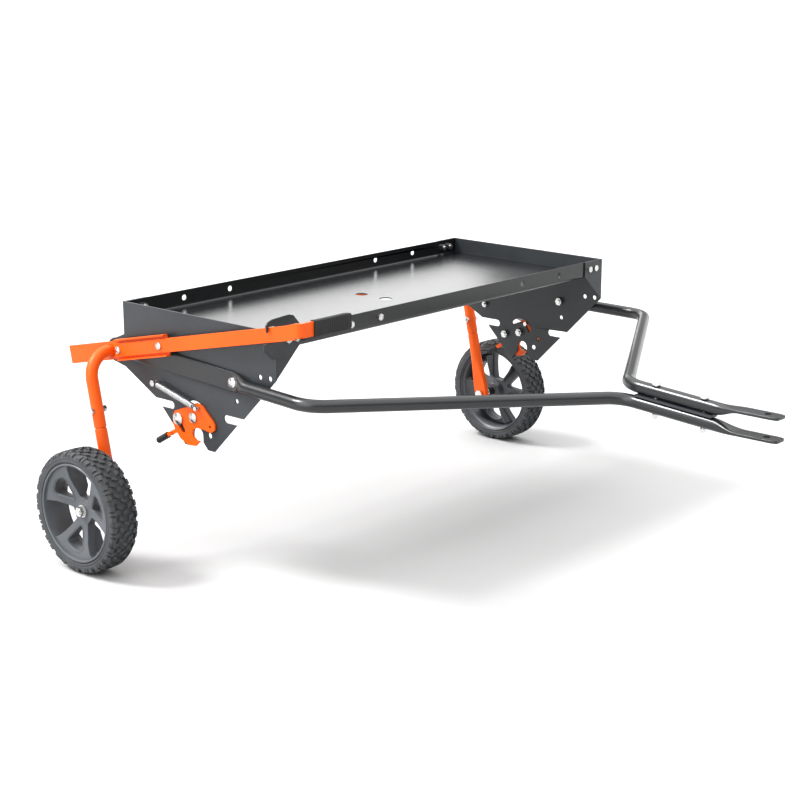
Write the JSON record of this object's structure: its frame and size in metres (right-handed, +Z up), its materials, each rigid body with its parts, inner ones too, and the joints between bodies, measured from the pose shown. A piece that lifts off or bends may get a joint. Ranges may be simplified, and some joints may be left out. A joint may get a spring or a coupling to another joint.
{
  "type": "tow behind cart",
  "caption": "Tow-behind cart with a shallow steel tray, slotted end plates, a bent tube hitch, and side wheels on a cranked frame raised by a hand lever.",
  "frame": {"origin": "middle of the bounding box in X and Y, on the ground under the tyres", "axes": "+X forward to the hitch, +Y to the cart's left, +Z up"},
  "size_m": [1.3819, 1.39, 0.561],
  "materials": {
    "frame_paint": "satin dark grey powder coat",
    "orange_paint": "satin orange powder coat",
    "zinc": "bright zinc plate",
    "rubber": "matte",
    "tyre_rubber": "matte",
    "wheel_plastic": "moulded, fine grain",
    "nylon": "moulded"
  },
  "bodies": {
    "frame": {"tray_pan": "frame_paint", "end_plate_right": "frame_paint", "end_plate_left": "frame_paint", "lever_hook": "frame_paint", "hitch_tube_right": "frame_paint", "hitch_tube_left": "frame_paint", "hitch_tie_bar": "frame_paint", "corner_bolts": "zinc", "corner_nuts": "zinc", "wall_bolts": "zinc", "wall_nuts": "zinc", "hitch_side_bolts": "zinc", "hitch_side_nuts": "zinc", "hitch_tie_bolts": "zinc", "hitch_tie_nuts": "zinc", "latch_pivot_bolts": "zinc", "latch_stop_bolts": "zinc", "latch_nuts": "zinc", "spring_anchors": "zinc", "anchor_nuts": "zinc", "spring_right": "zinc", "spring_left": "zinc", "pivot_bushes": "nylon"},
    "lift_crank": {"crank_tube": "orange_paint", "leg_tube_right": "orange_paint", "leg_tube_left": "orange_paint", "leg_bolts": "zinc", "leg_nuts": "zinc", "lever_channel": "orange_paint", "lift_lever": "orange_paint", "lever_rivets": "zinc", "lever_grip": "rubber", "axle_bolts": "zinc", "axle_spacers": "zinc", "axle_washers": "zinc", "axle_nuts": "zinc"},
    "right_wheel": {"wheel_right": "wheel_plastic", "tyre_right": "tyre_rubber", "hub_bush_right": "nylon"},
    "left_wheel": {"wheel_left": "wheel_plastic", "tyre_left": "tyre_rubber", "hub_bush_left": "nylon"},
    "right_latch": {"latch_right": "orange_paint", "latch_sleeve_right": "rubber", "spring_pin_right": "zinc"},
    "left_latch": {"latch_left": "orange_paint", "latch_sleeve_left": "rubber", "spring_pin_left": "zinc"}
  },
  "joints": [
    {"name": "lift", "type": "hinge", "parent": "frame", "child": "lift_crank", "pos_m": [-0.55405, 0, 0.42339], "axis": [0, -1, 0], "range_deg": [0, 70]},
    {"name": "right_wheel_spin", "type": "hinge", "parent": "lift_crank", "child": "right_wheel", "pos_m": [-0.49203, -0.662, 0.1265], "axis": [0, 1, 0], "continuous": true},
    {"name": "left_wheel_spin", "type": "hinge", "parent": "lift_crank", "child": "left_wheel", "pos_m": [-0.49203, 0.662, 0.1265], "axis": [0, 1, 0], "continuous": true},
    {"name": "right_latch_swing", "type": "hinge", "parent": "frame", "child": "right_latch", "pos_m": [-0.31505, -0.5225, 0.32339], "axis": [0, 1, 0], "range_deg": [0, 32], "stiffness_Nm_per_rad": 2, "springref_deg": -11.46, "deforming": ["spring_right"]},
    {"name": "left_latch_swing", "type": "hinge", "parent": "frame", "child": "left_latch", "pos_m": [-0.31505, 0.5225, 0.32339], "axis": [0, 1, 0], "range_deg": [0, 32], "stiffness_Nm_per_rad": 2, "springref_deg": -11.46, "deforming": ["spring_left"]}
  ]
}
